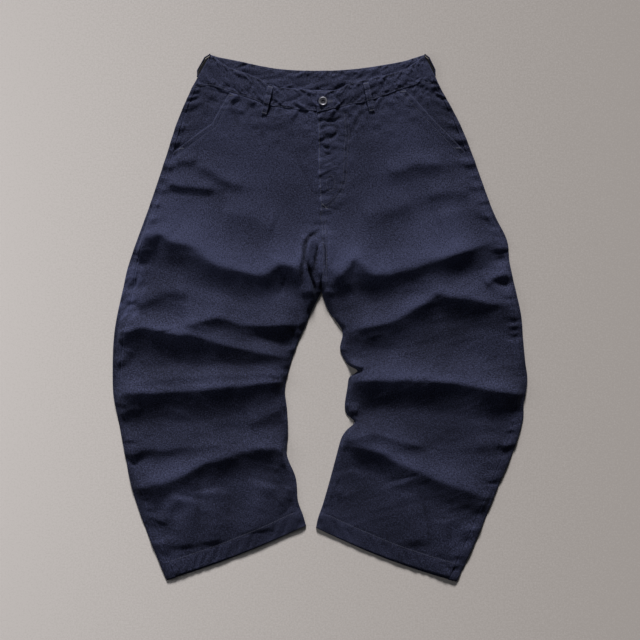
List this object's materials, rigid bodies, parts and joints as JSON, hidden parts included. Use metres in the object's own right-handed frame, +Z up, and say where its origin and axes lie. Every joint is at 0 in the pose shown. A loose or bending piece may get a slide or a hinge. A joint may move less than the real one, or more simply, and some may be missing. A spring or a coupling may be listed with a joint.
{
  "type": "jeans",
  "caption": "Wide bow-legged cotton twill jeans laid flat, front up, with slanted front pockets, lapped fly, shank button, belt loops and folds across the legs.",
  "frame": {"origin": "middle of the outline, on the surface the jeans lie on", "axes": "+Y from the hems to the waist, +X towards the wearer's left, +Z up off the surface"},
  "size_m": [0.8075, 1.0278, 0.0221],
  "materials": {
    "twill": "washed navy cotton twill, matte, a little paler along seams and creases",
    "waistband_twill": "washed navy cotton twill, puckered along its stitching",
    "button_metal": "dark antique metal, rubbed on its rim"
  },
  "bodies": {
    "root": {"front_left": "twill", "front_right": "twill", "back_left": "twill", "back_right": "twill", "pocket_facing_left": "twill", "pocket_facing_right": "twill", "waistband_back": "waistband_twill", "waistband_front_left": "waistband_twill", "waistband_front_right": "waistband_twill", "belt_loop_front_left": "waistband_twill", "belt_loop_front_right": "waistband_twill", "belt_loop_side_left": "waistband_twill", "belt_loop_side_right": "waistband_twill", "button": "button_metal"}
  },
  "joints": []
}
